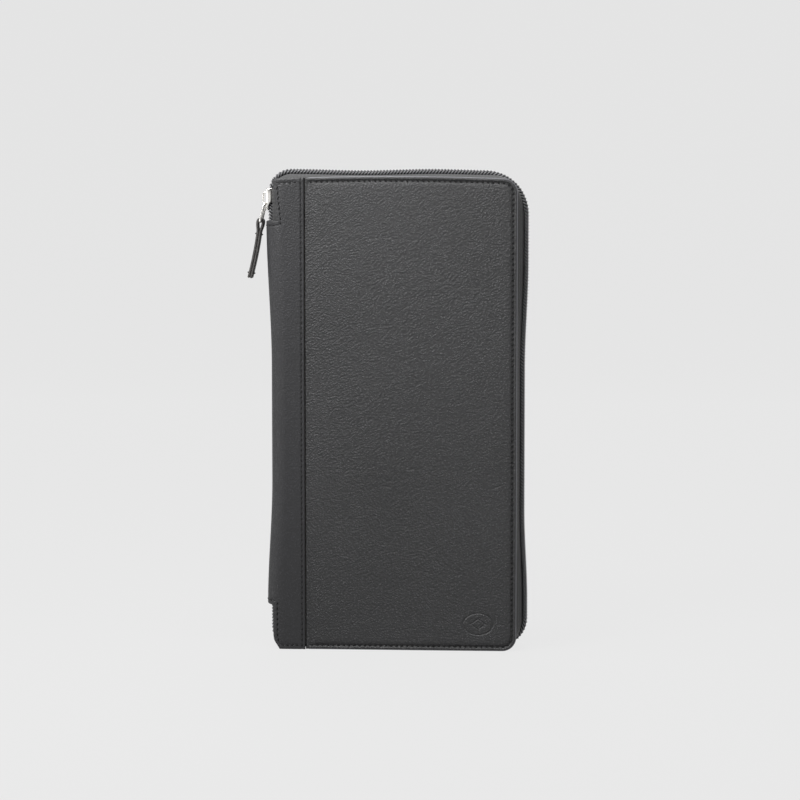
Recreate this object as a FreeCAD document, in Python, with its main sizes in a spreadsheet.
import FreeCAD, Part

import math
import os

import Sketcher

# A zip-around leather travel document organizer, stood on its bottom edge.
# X runs from the spine to the free edge, Y from the front cover to the back cover, Z upwards.
# The origin is under the middle of the whole object, the hanging zipper pull included.
# Inside the document every piece is drawn from the spine's outermost line, and then its
# Placement moves it by SpineX.

DRIVING = {
    # the covers
    "CoverHeight": 236,
    "CoverReach": 125,  # from the spine's outermost line to the free edge
    "Thickness": 26,  # over both closed covers
    "CornerRound": 7,
    "StripReach": 19.6,  # how far the spine's leather laps onto each cover
    "StripPly": 1.8,
    "PanelPly": 1.2,
    "BoardPly": 1.4,
    "LiningPly": 0.8,
    "BoardMargin": 2.4,
    "LiningMargin": 2.1,
    "LayerGap": 0.05,  # between pieces that lie edge to edge
    "BendGap": 0.5,  # from the spine's bend to the boards and linings
    # the spine
    "SpineRound": 9,
    "SpinePly": 1.4,
    "StiffenerPly": 1.3,
    "StiffenerWidth": 12.8,
    "NotchTop": 22,
    "NotchFoot": 22,
    "NotchInset": 4.4,
    "FoldGap": 0.15,
    # the zipper
    "ChainReachSide": 5.5,
    "ChainReachTop": 3.6,
    "ChainLift": 0.5,
    "ChainDepth": 1.1,  # how far the chain lies behind the spine's outermost line in the notches
    "CoilWidth": 2.9,
    "CoilThick": 2,
    "TapePly": 0.8,
    "TapeMargin": 0.6,
    "TailWidth": 10,
    "TailTuck": 12,
    "CoilGap": 0.15,
    "ZipRoundTop": 22,
    "ZipRoundFoot": 14,
    "ZipRoundSpine": 11.5,
    "ZipInset": 0.5,
    # the slider and its pull
    "SliderTop": 6,  # below the covers' top edge
    "SliderLength": 11,
    "SliderPlate": 1.1,
    "SliderFlange": 1,
    "SliderNeck": 2.5,
    "SliderGap": 0.3,
    "ZipMouth": 0.5,  # from the slider's inner plate to the start of the cover's tape
    "BridgeWidth": 2.4,
    "BridgePly": 0.85,
    "BridgeLow": 2,  # above the slider's lower end
    "BridgeHigh": 9.5,
    "LinkWire": 1.2,
    "LinkFit": 0.075,
    "LinkLength": 9.5,
    "LinkSpan": 8.2,
    "LinkRound": 1,
    "LinkLean": 14,
    "StrapPly": 1.5,
    "StrapSideGap": 0.2,
    "StrapLoop": 2.4,
    "StrapLength": 28.5,
    "StrapLean": 11,
    # the inside
    "PocketMargin": 10,
    "PocketPly": 0.8,
    "PocketSpineGap": 20,
    "PocketRim": 2,  # how far a backing panel shows beyond the pockets on it
    "SlotCount": 4,
    "SlotInset": 5,  # from the backing panel's free edge to the slots
    "SlotStep": 12,
    "SlotTop": 31,  # from the covers' top edge to the highest slot's edge
    "SlotDeep": 87,
    "PassGap": 6,  # from the slots' foot down to the boarding pass pocket's edge
    "PassportTop": 146,
    "LoopOuter": 5.2,
    "LoopWall": 0.8,
    "LoopGap": 6,  # from the passport pocket's edge up to the pen loop
    "LoopLength": 40,
}


def derived(d):
    """What follows from the driving sizes, in the same names and units."""
    half = d["Thickness"] / 2
    fold = d["SpineRound"] * (1 - math.sqrt(0.5))
    link_lean, strap_lean = math.radians(d["LinkLean"]), math.radians(d["StrapLean"])
    panel_back = half - d["StripPly"]
    lining_back = panel_back - d["BoardPly"] - d["LiningPly"]
    slider_low = d["CoverHeight"] - d["SliderTop"] - d["SliderLength"]
    slider_face = d["ChainDepth"] - d["SliderGap"] - d["SliderPlate"]
    tape_back = d["ChainDepth"] + d["CoilThick"] + d["TapePly"]
    # under the foot the tape climbs to the middle, and clears the coil over the coil's whole width
    sewn, coil_face = d["TapeMargin"], d["ChainLift"] + d["CoilThick"]
    run = panel_back - d["CoilGap"]
    tape_foot = sewn + (coil_face - sewn) * run / (run - d["CoilWidth"]) + d["LayerGap"]
    # at the upper free corner the sewn outline is cut back diagonally until it is inside the coil's
    diagonal = 2 - math.sqrt(2)
    chain_reach = d["ChainReachSide"] + d["ChainReachTop"] - 2 * d["CoilThick"] + 2 * sewn
    chain_cut = diagonal * (d["ZipRoundTop"] - d["CoilThick"])
    tape_round = sewn + (chain_cut - chain_reach + d["SliderGap"]) / diagonal
    link_x = slider_face - d["LinkFit"] - d["LinkWire"] / 2
    link_z = slider_low + d["BridgeLow"] + d["BridgePly"] + d["LinkFit"] + d["LinkWire"] / 2
    strap_x = link_x - d["LinkLength"] * math.sin(link_lean)
    pull_reach = d["StrapPly"] * math.cos(strap_lean) + d["StrapLength"] * math.sin(strap_lean) - strap_x
    return {
        "HalfThickness": half,
        "FoldX": fold,
        "SpineLow": d["NotchFoot"],
        "SpineHigh": d["CoverHeight"] - d["NotchTop"],
        "PanelBack": panel_back,
        "BoardBack": panel_back - d["BoardPly"],
        "LiningBack": lining_back,
        "SliderLow": slider_low,
        "SliderFace": slider_face,
        "SliderBack": tape_back + d["SliderGap"] + d["SliderPlate"],
        "SliderHalf": d["CoilWidth"] + d["CoilGap"] + d["SliderGap"] + d["SliderFlange"],
        "TapeBack": tape_back,
        "TapeFoot": tape_foot,
        "TapeRound": max(tape_round, d["CornerRound"]),
        "ZipStart": tape_back + 2 * d["SliderGap"] + d["SliderPlate"] + d["ZipMouth"],
        "LinkX": link_x,
        "LinkZ": link_z,
        "StrapX": strap_x,
        "StrapZ": link_z - d["LinkLength"] * math.cos(link_lean),
        "StrapWidth": d["LinkSpan"] - 2 * d["LinkRound"] - 2 * d["StrapSideGap"],
        "StrapEye": d["LinkWire"] / 2 + d["LinkFit"],
        "StrapNeck": math.sqrt(d["StrapLoop"] ** 2 - d["StrapPly"] ** 2),
        "SpineX": (pull_reach - d["CoverReach"] - d["ChainReachSide"]) / 2,
    }


doc = FreeCAD.newDocument("travel_organizer")
sheet = doc.addObject("Spreadsheet::Sheet", "Dim")
for row, (alias, number) in enumerate({**DRIVING, **derived(DRIVING)}.items(), start=1):
    sheet.set(f"A{row}", alias)
    sheet.set(f"B{row}", repr(number))
    sheet.setAlias(f"B{row}", alias)
doc.recompute()


# Helpers. An expression is written with bare names in braces: "{CoverHeight} - 2".


def bound(text):
    """The expression as FreeCAD reads it, with each {Name} a cell of the sheet."""
    return str(text).replace("{", "Dim.").replace("}", "")


def worth(text):
    """The expression's number."""
    return float(sheet.evalExpression(bound(text)))


def new_body(name, x="{SpineX}", z="0", lean=None):
    """A body whose Placement is tied to the sheet, leaning about Y by the named angle."""
    body = doc.addObject("PartDesign::Body", name)
    body.Label = name
    if lean:
        turn = FreeCAD.Rotation(FreeCAD.Vector(0, 1, 0), worth(lean))
        body.Placement = FreeCAD.Placement(FreeCAD.Vector(), turn)
        body.setExpression(".Placement.Rotation.Angle", bound(lean))
    body.setExpression(".Placement.Base.x", bound(x))
    body.setExpression(".Placement.Base.z", bound(z))
    return body


def new_sketch(body, name, role, offset="0"):
    """A sketch on one of the body's origin planes, moved along the plane's normal."""
    sketch = body.newObject("Sketcher::SketchObject", name)
    plane = next(item for item in body.Origin.OriginFeatures if item.Role == role)
    sketch.AttachmentSupport = [(plane, "")]
    sketch.MapMode = "FlatFace"
    sketch.setExpression(".AttachmentOffset.Base.z", bound(offset))
    return sketch


def fix(sketch, kind, geometry, point, expression):
    """Ties one coordinate of a point, from the sketch's origin, to the sheet."""
    rule = sketch.addConstraint(Sketcher.Constraint(kind, -1, 1, geometry, point, worth(expression)))
    sketch.setExpression(f"Constraints[{rule}]", bound(expression))


def arc_between(start, end, radius):
    """The shorter arc from start to end, anticlockwise for a positive radius."""
    chord = end - start
    rise = math.sqrt(max(radius**2 - chord.Length**2 / 4, 0))
    left = FreeCAD.Vector(-chord.y, chord.x, 0).normalize()
    centre = start + chord / 2 + left * math.copysign(rise, radius)
    first, last = (start, end) if radius > 0 else (end, start)
    angles = [math.atan2(p.y - centre.y, p.x - centre.x) for p in (first, last)]
    circle = Part.Circle(centre, FreeCAD.Vector(0, 0, 1), abs(radius))
    return Part.ArcOfCircle(circle, *angles)


def trace(sketch, corners):
    """A closed outline. A corner is (x, y), or (x, y, radius) where an arc leads to the next one."""
    spots = [FreeCAD.Vector(worth(corner[0]), worth(corner[1]), 0) for corner in corners]
    ends = []
    for n, corner in enumerate(corners):
        start, end = spots[n], spots[(n + 1) % len(spots)]
        if len(corner) == 2:
            edge = sketch.addGeometry(Part.LineSegment(start, end))
            ends.append((edge, 1, 2))
        else:
            radius = worth(corner[2])
            edge = sketch.addGeometry(arc_between(start, end, radius))
            rule = sketch.addConstraint(Sketcher.Constraint("Radius", edge, abs(radius)))
            sketch.setExpression(f"Constraints[{rule}]", bound(f"abs({corner[2]})"))
            ends.append((edge, 1, 2) if radius > 0 else (edge, 2, 1))
    for n, (edge, first, _) in enumerate(ends):
        before, _, last = ends[n - 1]
        sketch.addConstraint(Sketcher.Constraint("Coincident", before, last, edge, first))
        fix(sketch, "DistanceX", edge, first, corners[n][0])
        fix(sketch, "DistanceY", edge, first, corners[n][1])


def box(left, right, low, high):
    """The corners of a plain rectangle."""
    return [(left, low), (right, low), (right, high), (left, high)]


def rounded(left, right, low, high, low_right=None, high_right=None, high_left=None, low_left=None):
    """The corners of a rectangle whose named corners are rounded."""
    corners = []
    for x, y, radius, x_way, y_way, along in (
        (left, low, low_left, 1, 1, "y"),
        (right, low, low_right, -1, 1, "x"),
        (right, high, high_right, -1, -1, "y"),
        (left, high, high_left, 1, -1, "x"),
    ):
        if radius is None:
            corners.append((x, y))
            continue
        on_level = (f"{x} + {x_way} * ({radius})", y)
        on_upright = (x, f"{y} + {y_way} * ({radius})")
        first, last = (on_upright, on_level) if along == "y" else (on_level, on_upright)
        corners += [(*first, radius), last]
    return corners


def circle(sketch, x, y, radius):
    """A full circle tied to the sheet."""
    centre = FreeCAD.Vector(worth(x), worth(y), 0)
    edge = sketch.addGeometry(Part.Circle(centre, FreeCAD.Vector(0, 0, 1), worth(radius)))
    rule = sketch.addConstraint(Sketcher.Constraint("Radius", edge, worth(radius)))
    sketch.setExpression(f"Constraints[{rule}]", bound(radius))
    fix(sketch, "DistanceX", edge, 3, x)
    fix(sketch, "DistanceY", edge, 3, y)


def extrude(body, kind, sketch, length):
    """A Pad along the sketch's normal, or a Pocket against it."""
    feature = body.newObject("PartDesign::" + kind, f"{sketch.Name}_{kind.lower()}")
    feature.Profile = sketch
    feature.setExpression("Length", bound(length))
    return feature


def loft(body, kind, name, first, last):
    """A ruled loft, added or subtracted, from one sketch to another."""
    feature = body.newObject("PartDesign::" + kind, name)
    feature.Profile = first
    feature.Sections = [last]
    feature.Ruled = True


# The XZ plane's normal is -Y, so a pad on it grows towards the front. A sheet of the front half
# starts at its inner face and one of the back half at its outer face.


def face_offset(side, inner, ply):
    """The XZ sketch offset for a sheet of the given ply whose inner face is inner from mid-plane."""
    return inner if side == "front" else f"-({inner} + {ply})"


def sheet_piece(name, side, inner, ply, corners):
    """A flat sheet of one ply, parallel to the covers."""
    body = new_body(name)
    sketch = new_sketch(body, name + "_outline", "XZ_Plane", face_offset(side, inner, ply))
    trace(sketch, corners)
    extrude(body, "Pad", sketch, ply)


def stack_of_covers(side):
    """Leather, board and lining of one cover."""
    right, top = "{CoverReach}", "{CoverHeight}"
    left, corner = "{StripReach} + {LayerGap}", "{CornerRound}"
    leather = rounded(left, right, "0", top, low_right=corner, high_right=corner)
    sheet_piece(f"{side}_cover_leather", side, "{PanelBack}", "{PanelPly}", leather)
    for layer, inner, ply, margin in (
        ("board", "{BoardBack}", "{BoardPly}", "{BoardMargin}"),
        ("lining", "{LiningBack}", "{LiningPly}", "{LiningMargin}"),
    ):
        low_corner, high_corner = f"{{CornerRound}} - {margin}", f"{{TapeRound}} - {margin}"
        left = "{SpineRound} + {BendGap}"
        outline = rounded(
            left, f"{right} - {margin}", margin, f"{top} - {margin}", low_corner, high_corner
        )
        sheet_piece(f"{side}_cover_{layer}", side, inner, ply, outline)


def spine_strip(side):
    """The lap of the spine's leather on one cover, with its half of the bend beside the fold."""
    way = "-1" if side == "front" else "1"
    arc = "{SpineRound}" if side == "front" else "-{SpineRound}"
    inner_arc = "-({SpineRound} - {StripPly})" if side == "front" else "{SpineRound} - {StripPly}"
    face, back = f"{way} * {{HalfThickness}}", f"{way} * {{PanelBack}}"
    centre = "({HalfThickness} - {SpineRound})"

    def on_arc(x, radius):
        return f"{way} * ({centre} + sqrt(({radius})^2 - ({{SpineRound}} - {x})^2))"

    body = new_body(f"{side}_spine_strip")
    lap = new_sketch(body, f"{side}_lap", "XY_Plane")
    trace(
        lap,
        [
            ("{NotchInset}", on_arc("{NotchInset}", "{SpineRound}"), arc),
            ("{SpineRound}", face),
            ("{StripReach}", face),
            ("{StripReach}", back),
            ("{NotchInset}", back),
        ],
    )
    extrude(body, "Pad", lap, "{CoverHeight}")
    bend = new_sketch(body, f"{side}_bend", "XY_Plane", "{SpineLow}")
    trace(
        bend,
        [
            ("{FoldX}", on_arc("{FoldX}", "{SpineRound}"), arc),
            ("{SpineRound}", face),
            ("{SpineRound}", back, inner_arc),
            ("{FoldX}", on_arc("{FoldX}", "{SpineRound} - {StripPly}")),
        ],
    )
    extrude(body, "Pad", bend, "{SpineHigh} - {SpineLow}")


def ring(grow, foot="{ChainLift} + {CoilThick}"):
    """The zipper's outline round the object, grown outwards from the chain's inner face."""
    return rounded(
        "{ZipInset}",
        f"{{CoverReach}} + {{ChainReachSide}} - {{CoilThick}} + {grow}",
        f"{foot} - ({grow})",
        f"{{CoverHeight}} + {{ChainReachTop}} - {{CoilThick}} + {grow}",
        low_right=f"{{ZipRoundFoot}} - {{CoilThick}} + {grow}",
        high_right=f"{{ZipRoundTop}} - {{CoilThick}} + {grow}",
        high_left=f"{{ZipRoundSpine}} - {{CoilThick}} + {grow}",
        low_left=f"{{ZipRoundSpine}} - {{CoilThick}} + {grow}",
    )


def cover_ring(inset):
    """The outline where the tape is sewn in, inside the covers' edge."""
    return rounded(
        "{ZipInset}",
        f"{{CoverReach}} - {inset}",
        inset,
        f"{{CoverHeight}} - {inset}",
        low_right=f"{{CornerRound}} - {inset}",
        high_right=f"{{TapeRound}} - {inset}",
        high_left=f"{{ZipRoundSpine}} - {{CoilThick}} - {inset}",
        low_left=f"{{ZipRoundSpine}} - {{CoilThick}} - {inset}",
    )


def open_at_spine(body, side):
    """Takes away the spine side of a ring, where the covers fold and the slider passes."""
    start = "{HalfThickness}" if side == "front" else "0"
    sketch = new_sketch(body, body.Name + "_mouth", "XZ_Plane", start)
    trace(sketch, box("-{CoverReach}", "{ZipStart}", "-{CoverHeight}", "2 * {CoverHeight}"))
    extrude(body, "Pocket", sketch, "{HalfThickness}")


def zipper_half(side):
    """One side's tape, from the cover's edge out to the middle, and its row of coil."""
    way = "1" if side == "front" else "-1"
    sewn, middle = f"{way} * {{PanelBack}}", f"{way} * {{CoilGap}}"
    tape = new_body(f"{side}_zipper_tape")
    for kind, name, outer, thin in (
        ("AdditiveLoft", "outside", "{TapeMargin}", "0"),
        ("SubtractiveLoft", "inside", "{TapeMargin} + {TapePly}", "-{TapePly}"),
    ):
        first = new_sketch(tape, f"{side}_sewn_{name}", "XZ_Plane", sewn)
        trace(first, cover_ring(f"({outer})"))
        last = new_sketch(tape, f"{side}_middle_{name}", "XZ_Plane", middle)
        trace(last, ring(f"({thin})", "{TapeFoot}"))
        loft(tape, kind, f"{side}_tape_{name}", first, last)
    open_at_spine(tape, side)

    coil = new_body(f"{side}_zipper_coil")
    band = new_sketch(
        coil, f"{side}_coil_band", "XZ_Plane", face_offset(side, "{CoilGap}", "{CoilWidth}")
    )
    trace(band, ring("{CoilThick}"))
    trace(band, ring("0"))
    extrude(coil, "Pad", band, "{CoilWidth}")
    open_at_spine(coil, side)


def spine():
    """The middle panel of the spine's leather with its stiffener and lining."""
    back = "{FoldX} - {FoldGap}"
    level = "({HalfThickness} - {SpineRound})"
    edge = f"({level} + sqrt({{SpineRound}}^2 - ({{SpineRound}} - ({back}))^2))"
    leather = new_body("spine_leather")
    plan = new_sketch(leather, "spine_plan", "XY_Plane", "{SpineLow}")
    trace(
        plan,
        [
            (back, f"-{edge}"),
            (back, edge, "{SpineRound}"),
            ("0", level),
            ("0", f"-{level}", "{SpineRound}"),
        ],
    )
    extrude(leather, "Pad", plan, "{SpineHigh} - {SpineLow}")
    seat = new_sketch(leather, "stiffener_seat", "XY_Plane", "{SpineHigh}")
    half_seat = "({StiffenerWidth} / 2 + {FoldGap})"
    trace(seat, box("{SpinePly}", "{SpineRound}", f"-{half_seat}", half_seat))
    extrude(leather, "Pocket", seat, "{SpineHigh} - {SpineLow}")

    half = "{StiffenerWidth} / 2"
    for name, x, ply, margin in (
        ("spine_stiffener", "{SpinePly}", "{StiffenerPly}", "{LiningMargin}"),
        ("spine_lining", "{TapeBack}", "{LiningPly}", "{FoldGap}"),
    ):
        body = new_body(name)
        plan = new_sketch(body, name + "_plan", "XY_Plane", f"{{SpineLow}} + {margin}")
        trace(plan, box(x, f"{x} + {ply}", f"-{half}", half))
        extrude(body, "Pad", plan, f"{{SpineHigh}} - {{SpineLow}} - 2 * {margin}")


def zipper_end(name, tail_low, tail_high, chain_low, chain_high):
    """The joined end of both tapes in a notch, tucked behind the spine, with its last coil."""
    body = new_body(name)
    tape_face = "{ChainDepth} + {CoilThick}"
    for part, left, right, half, low, high in (
        ("tail", tape_face, "{TapeBack}", "{TailWidth} / 2", tail_low, tail_high),
        ("chain", "{ChainDepth}", tape_face, "({CoilWidth} + {CoilGap})", chain_low, chain_high),
    ):
        plan = new_sketch(body, f"{name}_{part}", "XY_Plane", low)
        trace(plan, box(left, right, f"-{half}", half))
        extrude(body, "Pad", plan, f"{high} - ({low})")


def zipper_ends():
    """The two ends of the chain, in the spine's upper and lower notches."""
    high_end = "{SliderLow} + {SliderLength} - {SliderNeck} - {SliderGap}"
    low_end = "{ZipRoundSpine} - {CoilThick} / 2"
    zipper_end("zipper_top_end", "{SpineHigh} - {TailTuck}", high_end, "{SpineHigh} + {FoldGap}", high_end)
    zipper_end("zipper_foot_end", low_end, "{SpineLow} + {TailTuck}", low_end, "{SpineLow} - {FoldGap}")


def slider():
    """The slider: an outer channel over the coil and an inner plate, joined by the neck."""
    low, length = "{SliderLow}", "{SliderLength}"
    lip = "{ChainDepth} + {CoilThick} - {SliderGap}"
    half, inner_half = "{SliderHalf}", "({SliderHalf} - {SliderFlange})"
    body = new_body("slider_body")
    channel = new_sketch(body, "slider_channel", "XY_Plane", low)
    plate_back = "{SliderFace} + {SliderPlate}"
    trace(
        channel,
        [
            ("{SliderFace}", f"-{half}"),
            (lip, f"-{half}"),
            (lip, f"-{inner_half}"),
            (plate_back, f"-{inner_half}"),
            (plate_back, inner_half),
            (lip, inner_half),
            (lip, half),
            ("{SliderFace}", half),
        ],
    )
    extrude(body, "Pad", channel, length)
    neck = new_sketch(body, "slider_neck", "XY_Plane", f"{low} + {length} - {{SliderNeck}}")
    half_neck = "{BridgeWidth} / 2"
    trace(neck, box("{SliderFace} + {SliderPlate} / 2", "{SliderBack}", f"-{half_neck}", half_neck))
    extrude(body, "Pad", neck, "{SliderNeck}")
    plate = new_sketch(body, "slider_plate", "XY_Plane", low)
    trace(plate, box("{SliderBack} - {SliderPlate}", "{SliderBack}", f"-{half}", half))
    extrude(body, "Pad", plate, length)


def bridge():
    """The arch on the slider's face that holds the pull."""
    reach = "{SliderFace} - {LinkWire} - 2 * {LinkFit}"
    foot, head = "{SliderLow} + {BridgeLow}", "{SliderLow} + {BridgeHigh}"
    body = new_body("slider_bridge")
    sketch = new_sketch(body, "bridge_side", "XZ_Plane", "-{BridgeWidth} / 2")
    trace(
        sketch,
        [
            ("{SliderFace}", foot),
            ("{SliderFace}", f"{foot} + {{BridgePly}}"),
            (reach, f"{foot} + {{BridgePly}}"),
            (reach, f"{head} - {{BridgePly}}"),
            ("{SliderFace}", f"{head} - {{BridgePly}}"),
            ("{SliderFace}", head),
            (reach, head, "{BridgePly}"),
            (f"{reach} - {{BridgePly}}", f"{head} - {{BridgePly}}"),
            (f"{reach} - {{BridgePly}}", f"{foot} + {{BridgePly}}", "{BridgePly}"),
            (reach, foot),
        ],
    )
    extrude(body, "Pad", sketch, "{BridgeWidth}")


def pull_link():
    """A closed loop of wire that hangs from the bridge."""
    body = new_body("pull_link", "{SpineX} + {LinkX}", "{LinkZ}", "{LinkLean}")
    path = new_sketch(body, "link_path", "YZ_Plane")
    half = "({LinkSpan} / 2)"
    corners = rounded(f"-{half}", half, "-{LinkLength}", "0", *["{LinkRound}"] * 4)
    # the loop starts in the middle of its upper side, where the wire's section stands
    upper_left = 6
    trace(path, [("0", "0")] + corners[upper_left:] + corners[:upper_left])
    section = new_sketch(body, "link_section", "XZ_Plane")
    circle(section, "0", "0", "{LinkWire} / 2")
    pipe = body.newObject("PartDesign::AdditivePipe", "link_wire")
    pipe.Profile = section
    pipe.Spine = path


def pull_strap():
    """A leather strip folded round the link and sewn to itself."""
    body = new_body("pull_strap", "{SpineX} + {StrapX}", "{StrapZ}", "{StrapLean}")
    side = new_sketch(body, "strap_side", "XZ_Plane", "-{StrapWidth} / 2")
    trace(
        side,
        [
            ("-{StrapPly}", "-{StrapLength}"),
            ("{StrapPly}", "-{StrapLength}"),
            ("{StrapPly}", "-{StrapNeck}", "{StrapLoop}"),
            ("0", "{StrapLoop}", "{StrapLoop}"),
            ("-{StrapPly}", "-{StrapNeck}"),
        ],
    )
    circle(side, "0", "0", "{StrapEye}")
    extrude(body, "Pad", side, "{StrapWidth}")


def card_side():
    """The front cover's inside: a backing panel, stepped card slots and a long pocket below."""
    left, right = "{PocketSpineGap}", "{CoverReach} - {PocketMargin} - {SlotInset}"
    top = "{CoverHeight} - {PocketMargin}"
    first_layer = "({LiningBack} - {PocketPly})"
    sheet_piece(
        "card_panel",
        "front",
        first_layer,
        "{PocketPly}",
        box(f"{left} - {{PocketRim}}", "{CoverReach} - {PocketMargin}", "{PocketMargin}", top),
    )
    slot_foot = "{CoverHeight} - {SlotTop} - {SlotDeep}"
    for number in range(1, int(DRIVING["SlotCount"]) + 1):
        edge = f"{{CoverHeight}} - {{SlotTop}} - {number - 1} * {{SlotStep}}"
        layer = f"({{LiningBack}} - {number + 1} * {{PocketPly}})"
        sheet_piece(f"card_slot_{number}", "front", layer, "{PocketPly}", box(left, right, slot_foot, edge))
    sheet_piece(
        "boarding_pass_pocket",
        "front",
        "({LiningBack} - 2 * {PocketPly})",
        "{PocketPly}",
        box(left, right, "{PocketMargin} + {PocketRim}", slot_foot + " - {PassGap}"),
    )


def passport_side():
    """The back cover's inside: a full-height pocket, a passport pocket on it and a pen loop."""
    free_edge, top = "{CoverReach} - {PocketMargin}", "{CoverHeight} - {PocketMargin}"
    sheet_piece(
        "ticket_pocket",
        "back",
        "({LiningBack} - {PocketPly})",
        "{PocketPly}",
        box("{PocketSpineGap} - {PocketRim}", free_edge, "{PocketMargin}", top),
    )
    sheet_piece(
        "passport_pocket",
        "back",
        "({LiningBack} - 2 * {PocketPly})",
        "{PocketPly}",
        box("{PocketSpineGap}", free_edge, "{PocketMargin} + {PocketRim}", "{PassportTop}"),
    )
    loop = new_body("pen_loop")
    plan = new_sketch(loop, "pen_loop_plan", "XY_Plane", "{PassportTop} + {LoopGap}")
    x = "{CoverReach} - {PocketMargin} - {LoopOuter}"
    y = "{LiningBack} - {PocketPly} - {LoopOuter}"
    circle(plan, x, y, "{LoopOuter}")
    circle(plan, x, y, "{LoopOuter} - {LoopWall}")
    extrude(loop, "Pad", plan, "{LoopLength}")


for side in ("front", "back"):
    stack_of_covers(side)
    spine_strip(side)
    zipper_half(side)
spine()
zipper_ends()
slider()
bridge()
pull_link()
pull_strap()
card_side()
passport_side()
doc.recompute()

for item in doc.Objects:
    if {"Invalid", "Error"} & set(item.State):
        raise RuntimeError(f"{item.Label} failed: {item.State}")
bodies = [item for item in doc.Objects if item.TypeId == "PartDesign::Body"]
for body in bodies:
    if body.Shape.isNull() or not body.Shape.isValid() or len(body.Shape.Solids) != 1:
        raise RuntimeError(f"{body.Label} is not one valid solid")

os.makedirs("parts", exist_ok=True)
for body in bodies:
    body.Shape.exportStep(f"parts/{body.Label}.step")
    limits = body.Shape.BoundBox
    across = f"x {limits.XMin:.2f}..{limits.XMax:.2f}"
    deep = f"y {limits.YMin:.2f}..{limits.YMax:.2f}"
    up = f"z {limits.ZMin:.2f}..{limits.ZMax:.2f}"
    print(body.Label, across, deep, up, f"{body.Shape.Volume:.1f} mm3")
